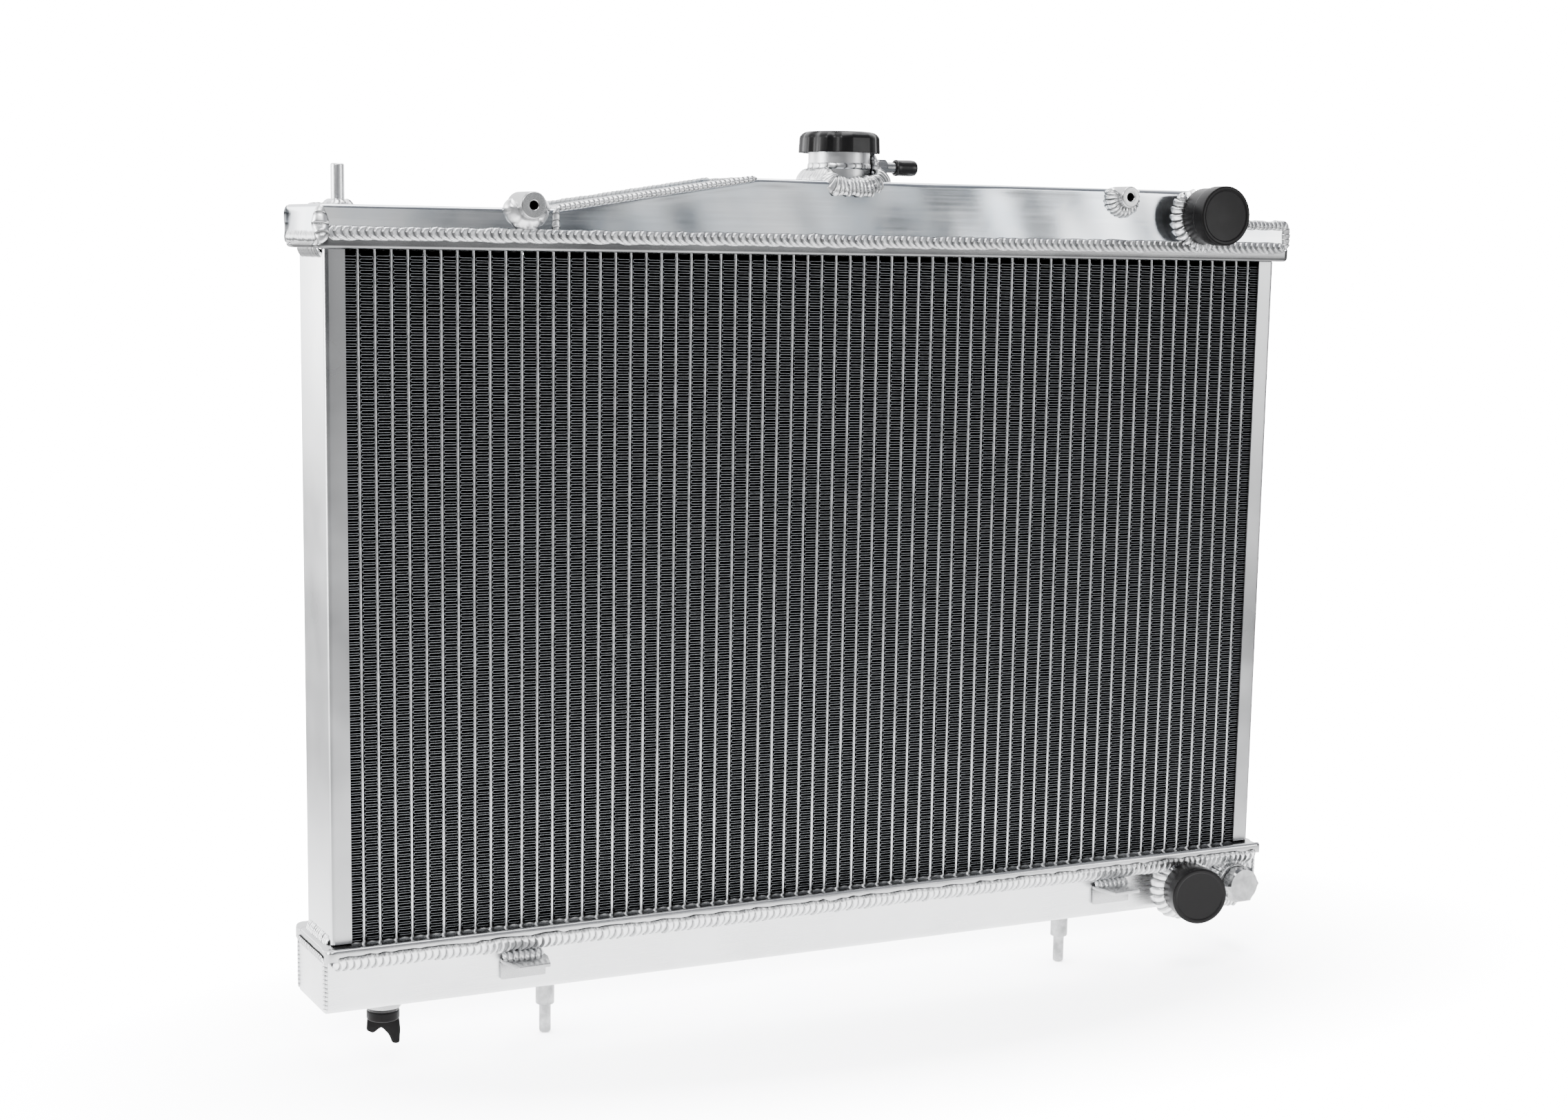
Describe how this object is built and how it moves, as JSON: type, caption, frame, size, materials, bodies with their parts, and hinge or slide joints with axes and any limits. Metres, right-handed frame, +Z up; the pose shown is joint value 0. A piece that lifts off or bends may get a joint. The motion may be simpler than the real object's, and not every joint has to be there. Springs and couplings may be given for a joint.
{
  "type": "car radiator",
  "caption": "Aluminium down-flow car radiator with welded tanks, finned tube core, filler neck with pressure cap, hose ports, drain cock and mounting pins.",
  "frame": {"origin": "underside of the bottom tank, midway between the two lower locating pins and in the core's mid-plane", "axes": "+X across the core towards the hose-port end, -Y is the face with the hose ports, +Z up towards the filler cap"},
  "size_m": [0.682, 0.1002, 0.563],
  "materials": {
    "brazed_tubes": "brazed satin",
    "fin_stock": "brazed matt, dark between the fins",
    "polished_sheet": "polished",
    "mill_sheet": "mill finish",
    "machined_aluminium": "machined",
    "spring_steel": "plated",
    "valve_brass": "plain",
    "seal_rubber": "matt",
    "soft_vinyl": "soft satin",
    "black_anodised": "black anodised gloss",
    "black_nylon": "moulded satin"
  },
  "bodies": {
    "radiator": {"tube_bank_front": "brazed_tubes", "tube_bank_rear": "brazed_tubes", "fin_bank": "fin_stock", "top_header": "polished_sheet", "bottom_header": "polished_sheet", "top_tank_left_section": "polished_sheet", "top_tank_raised_section": "polished_sheet", "top_tank_ramp_plate": "polished_sheet", "top_tank_right_section": "polished_sheet", "top_tank_step_plate": "polished_sheet", "side_plate_left": "mill_sheet", "side_plate_right": "mill_sheet", "top_tank_left_end": "mill_sheet", "top_tank_right_end": "mill_sheet", "bottom_tank_channel": "mill_sheet", "bottom_tank_left_end": "mill_sheet", "bottom_tank_right_end": "mill_sheet", "filler_neck": "machined_aluminium", "overflow_boss": "machined_aluminium", "overflow_fitting": "machined_aluminium", "upper_hose_port": "machined_aluminium", "lower_hose_port": "machined_aluminium", "shroud_boss_left": "machined_aluminium", "shroud_boss_right": "machined_aluminium", "shroud_bracket_left": "machined_aluminium", "shroud_bracket_right": "machined_aluminium", "upper_locating_rod": "machined_aluminium", "lower_locating_pin_left": "machined_aluminium", "lower_locating_pin_right": "machined_aluminium", "drain_boss": "machined_aluminium", "plug_boss": "machined_aluminium", "hex_plug": "machined_aluminium", "plug_washer": "machined_aluminium"},
    "cap_valve": {"cap_valve_bell": "spring_steel", "pressure_spring": "spring_steel"},
    "cap_grip": {"cap_shell": "black_anodised", "cap_ear_plate": "spring_steel", "cap_spring_disc": "spring_steel", "cap_upper_gasket": "seal_rubber"},
    "pressure_valve": {"pressure_valve_plate": "valve_brass", "pressure_valve_seal": "seal_rubber", "vacuum_valve_spring": "spring_steel"},
    "vacuum_valve": {"vacuum_valve": "valve_brass"},
    "upper_dust_cap": {"upper_port_dust_cap": "soft_vinyl"},
    "lower_dust_cap": {"lower_port_dust_cap": "soft_vinyl"},
    "overflow_cap": {"overflow_dust_cap": "seal_rubber"},
    "drain_carrier": {"drain_o_ring": "seal_rubber"},
    "drain_cock": {"drain_cock": "black_nylon"}
  },
  "joints": [
    {"name": "cap_lift", "type": "slide", "parent": "radiator", "child": "cap_valve", "axis": [0, 0, 1], "range_m": [0, 0.045]},
    {"name": "cap_turn", "type": "hinge", "parent": "cap_valve", "child": "cap_grip", "pos_m": [0.006, -0.004, 0.5175], "axis": [0, 0, 1], "range_deg": [-90, 0]},
    {"name": "pressure_valve_lift", "type": "slide", "parent": "cap_valve", "child": "pressure_valve", "axis": [0, 0, 1], "range_m": [0, 0.003], "stiffness_N_per_m": 1500, "springref_m": -0.004, "deforming": ["pressure_spring"]},
    {"name": "vacuum_valve_open", "type": "slide", "parent": "pressure_valve", "child": "vacuum_valve", "axis": [0, 0, -1], "range_m": [0, 0.0015], "stiffness_N_per_m": 60, "springref_m": -0.002, "deforming": ["vacuum_valve_spring"]},
    {"name": "upper_dust_cap_pull", "type": "slide", "parent": "radiator", "child": "upper_dust_cap", "axis": [0, -1, 0], "range_m": [0, 0.04]},
    {"name": "lower_dust_cap_pull", "type": "slide", "parent": "radiator", "child": "lower_dust_cap", "axis": [-0.2588, -0.9659, 0], "range_m": [0, 0.04]},
    {"name": "overflow_cap_pull", "type": "slide", "parent": "radiator", "child": "overflow_cap", "axis": [1, 0, 0], "range_m": [0, 0.02]},
    {"name": "drain_travel", "type": "slide", "parent": "radiator", "child": "drain_carrier", "axis": [0, 0, -1], "range_m": [0, 0.006]},
    {"name": "drain_turn", "type": "hinge", "parent": "drain_carrier", "child": "drain_cock", "pos_m": [-0.2975, -0.004, 0], "axis": [0, 0, -1], "range_deg": [0, 1440]}
  ],
  "couplings": [
    {"joint": "drain_turn", "follows": "drain_travel", "rad_per_m": 4188.8}
  ]
}
